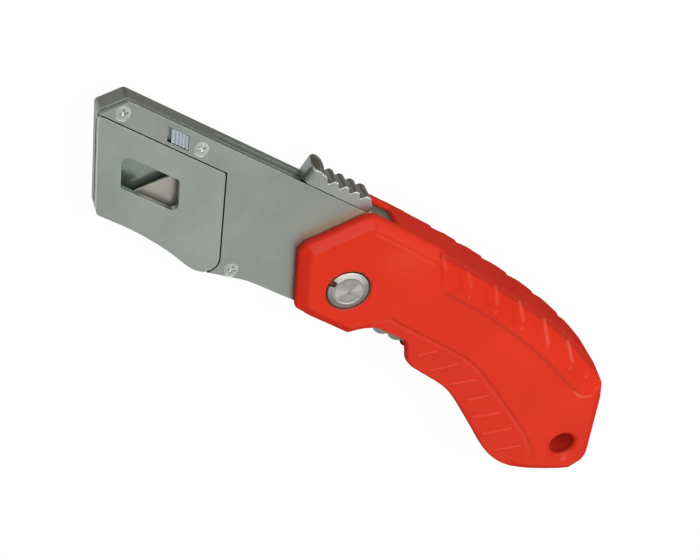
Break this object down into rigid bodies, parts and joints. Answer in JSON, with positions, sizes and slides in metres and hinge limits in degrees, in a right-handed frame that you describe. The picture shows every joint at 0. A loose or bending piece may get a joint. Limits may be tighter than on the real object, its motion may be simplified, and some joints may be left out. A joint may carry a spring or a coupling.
{
  "type": "folding utility knife",
  "caption": "Folding utility knife with a red cast handle, a satin steel head, a trapezoid blade on a thumb slider, a swing-open blade door and a liner lock.",
  "frame": {"origin": "centre of the opened knife's bounding box, on the plane of its back face", "axes": "+X from the nose to the handle's tail, +Y towards the spine, +Z out of the show side, which carries the pivot head and the blade door"},
  "size_m": [0.182, 0.0562, 0.0159],
  "materials": {
    "red_enamel": "satin powder coat over a zinc casting",
    "head_steel": "satin nickel, fine bead blast",
    "slider_zinc": "satin, worn dark in the grooves",
    "blade_steel": "ground, lightly oiled",
    "turned_steel": "turned, bright",
    "screw_steel": "bright zinc plate",
    "liner_steel": "satin",
    "spring_steel": "polished wire",
    "bush_brass": "turned",
    "slide_plastic": "moulded acetal"
  },
  "bodies": {
    "handle": {"handle_casting": "red_enamel", "pivot_barrel": "turned_steel", "pivot_screw": "turned_steel", "pivot_washers": "slide_plastic", "liner_screws": "screw_steel"},
    "head": {"head_body": "head_steel", "head_cover": "head_steel", "cover_screws": "screw_steel", "tang_bush": "bush_brass", "door_pin": "screw_steel", "latch_spring": "spring_steel"},
    "carriage": {"blade_carrier": "slide_plastic", "blade": "blade_steel", "detent_ball": "spring_steel", "detent_leaf": "spring_steel", "thumb_slider": "slider_zinc", "slider_rivets": "screw_steel"},
    "door": {"blade_door": "head_steel"},
    "latch": {"latch_button": "slider_zinc"},
    "lock": {"lock_liner": "liner_steel"}
  },
  "joints": [
    {"name": "head_fold", "type": "hinge", "parent": "handle", "child": "head", "pos_m": [-0.01029, 0.0031, 0.0078], "axis": [0, 0, 1], "range_deg": [0, 170]},
    {"name": "blade_slide", "type": "slide", "parent": "head", "child": "carriage", "axis": [-1, 0, 0], "range_m": [0, 0.024]},
    {"name": "door_swing", "type": "hinge", "parent": "head", "child": "door", "pos_m": [-0.04659, -0.0068, 0.0095], "axis": [0, 0, 1], "range_deg": [0, 18]},
    {"name": "latch_slide", "type": "slide", "parent": "head", "child": "latch", "axis": [-1, 0, 0], "range_m": [0, 0.001], "stiffness_N_per_m": 300},
    {"name": "lock_release", "type": "hinge", "parent": "handle", "child": "lock", "pos_m": [0.05371, -0.0029, 0.00285], "axis": [0, -1, 0], "range_deg": [0, 0.81], "stiffness_Nm_per_rad": 1.5}
  ]
}
